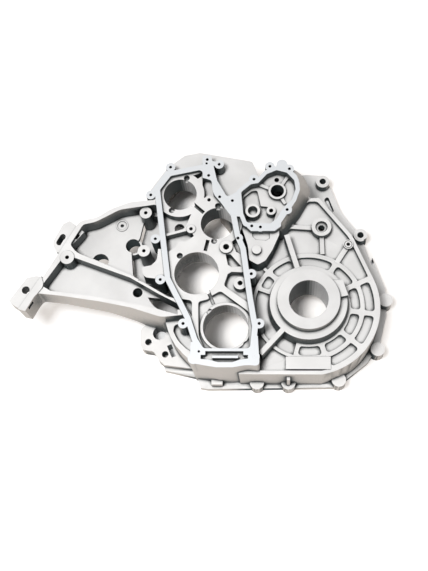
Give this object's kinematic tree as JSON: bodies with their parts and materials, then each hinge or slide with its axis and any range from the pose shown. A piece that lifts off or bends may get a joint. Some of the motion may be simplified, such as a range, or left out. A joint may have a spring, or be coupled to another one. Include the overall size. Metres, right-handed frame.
{
  "type": "gear housing",
  "caption": "Die cast aluminium gear housing: ribbed dome with a main bore, a rimmed bearing recess, a pump pocket and a side arm.",
  "frame": {"origin": "centre of the main bore at the machined hub face", "axes": "+Z out of the machined top, away from the mating face; +X from the main bore away from the arm; +Y towards the pump pocket"},
  "size_m": [0.6205, 0.3975, 0.12],
  "materials": {
    "cast_aluminium": "as cast, shot blasted, machined faces"
  },
  "bodies": {
    "root": {"housing": "cast_aluminium"}
  },
  "joints": []
}
